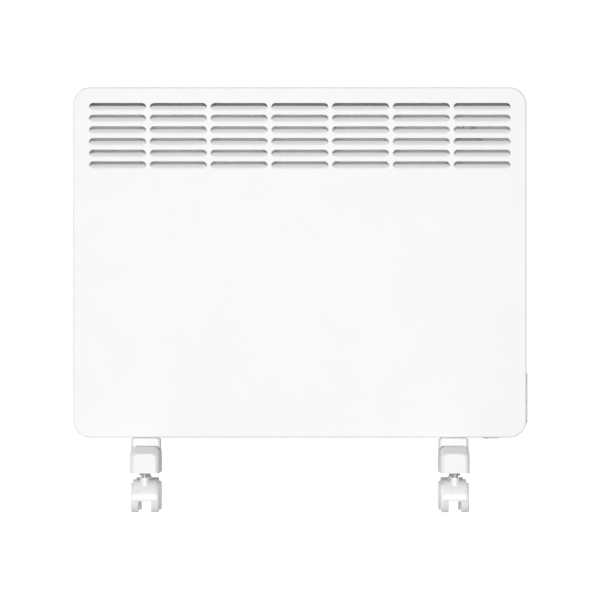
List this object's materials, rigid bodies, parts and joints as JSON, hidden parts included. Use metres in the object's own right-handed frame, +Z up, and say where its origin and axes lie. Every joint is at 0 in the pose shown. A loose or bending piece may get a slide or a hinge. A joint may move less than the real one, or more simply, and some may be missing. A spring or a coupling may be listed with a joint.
{
  "type": "panel convector heater",
  "caption": "White steel panel convector heater with rows of pressed louvres, side controls and a bottom switch, standing on foot bars with twin-wheel castors.",
  "frame": {"origin": "on the floor, under the middle of the whole heater", "axes": "+X to the right seen from the front, +Y to the back, +Z up; the louvred front faces -Y"},
  "size_m": [0.5842, 0.2528, 0.545],
  "materials": {
    "cover_paint": "matt white powder coat on folded steel sheet",
    "zinc_steel": "galvanised steel sheet",
    "fin_aluminium": "bare aluminium fins on a sheathed tube",
    "bright_steel": "bright zinc plated steel",
    "white_plastic": "white moulded plastic",
    "white_nylon": "white moulded nylon",
    "black_plastic": "black moulded plastic",
    "display_glass": "dark clear display window",
    "board_laminate": "green circuit board laminate",
    "terminal_plastic": "cream heat resistant plastic"
  },
  "bodies": {
    "heater": {"front_cover": "cover_paint", "rear_panel": "zinc_steel", "air_guide": "zinc_steel", "element_bracket_left": "zinc_steel", "element_bracket_right": "zinc_steel", "rear_screw_top_left": "bright_steel", "rear_screw_top_centre": "bright_steel", "rear_screw_top_right": "bright_steel", "rear_screw_bottom_left": "bright_steel", "rear_screw_bottom_centre": "bright_steel", "rear_screw_bottom_right": "bright_steel", "heating_element": "fin_aluminium", "thermal_cutout": "black_plastic", "room_sensor": "black_plastic", "cord_gland": "black_plastic", "terminal_block": "terminal_plastic", "control_housing": "white_plastic", "control_fascia": "white_plastic", "switch_housing": "white_plastic", "control_board": "board_laminate", "display_window": "display_glass", "foot_bar_left": "white_plastic", "foot_neck_left": "white_plastic", "foot_plate_left": "zinc_steel", "foot_screw_left_front": "bright_steel", "foot_screw_left_rear": "bright_steel", "foot_bar_right": "white_plastic", "foot_neck_right": "white_plastic", "foot_plate_right": "zinc_steel", "foot_screw_right_front": "bright_steel", "foot_screw_right_rear": "bright_steel", "castor_front_left_stem": "bright_steel", "castor_rear_left_stem": "bright_steel", "castor_front_right_stem": "bright_steel", "castor_rear_right_stem": "bright_steel"},
    "mains_rocker": {"mains_rocker": "white_plastic"},
    "button_menu": {"button_menu": "white_plastic"},
    "button_mode": {"button_mode": "white_plastic"},
    "button_minus": {"button_minus": "white_plastic"},
    "button_plus": {"button_plus": "white_plastic"},
    "castor_front_left": {"castor_front_left_hood": "white_nylon", "castor_front_left_axle": "bright_steel"},
    "castor_front_left_wheel_left": {"castor_front_left_wheel_left": "white_nylon"},
    "castor_front_left_wheel_right": {"castor_front_left_wheel_right": "white_nylon"},
    "castor_rear_left": {"castor_rear_left_hood": "white_nylon", "castor_rear_left_axle": "bright_steel"},
    "castor_rear_left_wheel_left": {"castor_rear_left_wheel_left": "white_nylon"},
    "castor_rear_left_wheel_right": {"castor_rear_left_wheel_right": "white_nylon"},
    "castor_front_right": {"castor_front_right_hood": "white_nylon", "castor_front_right_axle": "bright_steel"},
    "castor_front_right_wheel_left": {"castor_front_right_wheel_left": "white_nylon"},
    "castor_front_right_wheel_right": {"castor_front_right_wheel_right": "white_nylon"},
    "castor_rear_right": {"castor_rear_right_hood": "white_nylon", "castor_rear_right_axle": "bright_steel"},
    "castor_rear_right_wheel_left": {"castor_rear_right_wheel_left": "white_nylon"},
    "castor_rear_right_wheel_right": {"castor_rear_right_wheel_right": "white_nylon"}
  },
  "joints": [
    {"name": "mains_rocker_hinge", "type": "hinge", "parent": "heater", "child": "mains_rocker", "pos_m": [0.247, -0.00238, 0.09875], "axis": [0, 1, 0], "range_deg": [0, 16]},
    {"name": "button_menu_press", "type": "slide", "parent": "heater", "child": "button_menu", "axis": [-1, 0, 0], "range_m": [0, 0.0008], "stiffness_N_per_m": 800},
    {"name": "button_mode_press", "type": "slide", "parent": "heater", "child": "button_mode", "axis": [-1, 0, 0], "range_m": [0, 0.0008], "stiffness_N_per_m": 800},
    {"name": "button_minus_press", "type": "slide", "parent": "heater", "child": "button_minus", "axis": [-1, 0, 0], "range_m": [0, 0.0008], "stiffness_N_per_m": 800},
    {"name": "button_plus_press", "type": "slide", "parent": "heater", "child": "button_plus", "axis": [-1, 0, 0], "range_m": [0, 0.0008], "stiffness_N_per_m": 800},
    {"name": "castor_front_left_swivel", "type": "hinge", "parent": "heater", "child": "castor_front_left", "pos_m": [-0.198, -0.10638, 0.05], "axis": [0, 0, 1], "continuous": true},
    {"name": "castor_front_left_wheel_left_roll", "type": "hinge", "parent": "castor_front_left", "child": "castor_front_left_wheel_left", "pos_m": [-0.198, -0.09388, 0.019], "axis": [1, 0, 0], "continuous": true},
    {"name": "castor_front_left_wheel_right_roll", "type": "hinge", "parent": "castor_front_left", "child": "castor_front_left_wheel_right", "pos_m": [-0.198, -0.09388, 0.019], "axis": [1, 0, 0], "continuous": true},
    {"name": "castor_rear_left_swivel", "type": "hinge", "parent": "heater", "child": "castor_rear_left", "pos_m": [-0.198, 0.09362, 0.05], "axis": [0, 0, 1], "continuous": true},
    {"name": "castor_rear_left_wheel_left_roll", "type": "hinge", "parent": "castor_rear_left", "child": "castor_rear_left_wheel_left", "pos_m": [-0.198, 0.10612, 0.019], "axis": [1, 0, 0], "continuous": true},
    {"name": "castor_rear_left_wheel_right_roll", "type": "hinge", "parent": "castor_rear_left", "child": "castor_rear_left_wheel_right", "pos_m": [-0.198, 0.10612, 0.019], "axis": [1, 0, 0], "continuous": true},
    {"name": "castor_front_right_swivel", "type": "hinge", "parent": "heater", "child": "castor_front_right", "pos_m": [0.198, -0.10638, 0.05], "axis": [0, 0, 1], "continuous": true},
    {"name": "castor_front_right_wheel_left_roll", "type": "hinge", "parent": "castor_front_right", "child": "castor_front_right_wheel_left", "pos_m": [0.198, -0.09388, 0.019], "axis": [1, 0, 0], "continuous": true},
    {"name": "castor_front_right_wheel_right_roll", "type": "hinge", "parent": "castor_front_right", "child": "castor_front_right_wheel_right", "pos_m": [0.198, -0.09388, 0.019], "axis": [1, 0, 0], "continuous": true},
    {"name": "castor_rear_right_swivel", "type": "hinge", "parent": "heater", "child": "castor_rear_right", "pos_m": [0.198, 0.09362, 0.05], "axis": [0, 0, 1], "continuous": true},
    {"name": "castor_rear_right_wheel_left_roll", "type": "hinge", "parent": "castor_rear_right", "child": "castor_rear_right_wheel_left", "pos_m": [0.198, 0.10612, 0.019], "axis": [1, 0, 0], "continuous": true},
    {"name": "castor_rear_right_wheel_right_roll", "type": "hinge", "parent": "castor_rear_right", "child": "castor_rear_right_wheel_right", "pos_m": [0.198, 0.10612, 0.019], "axis": [1, 0, 0], "continuous": true}
  ]
}
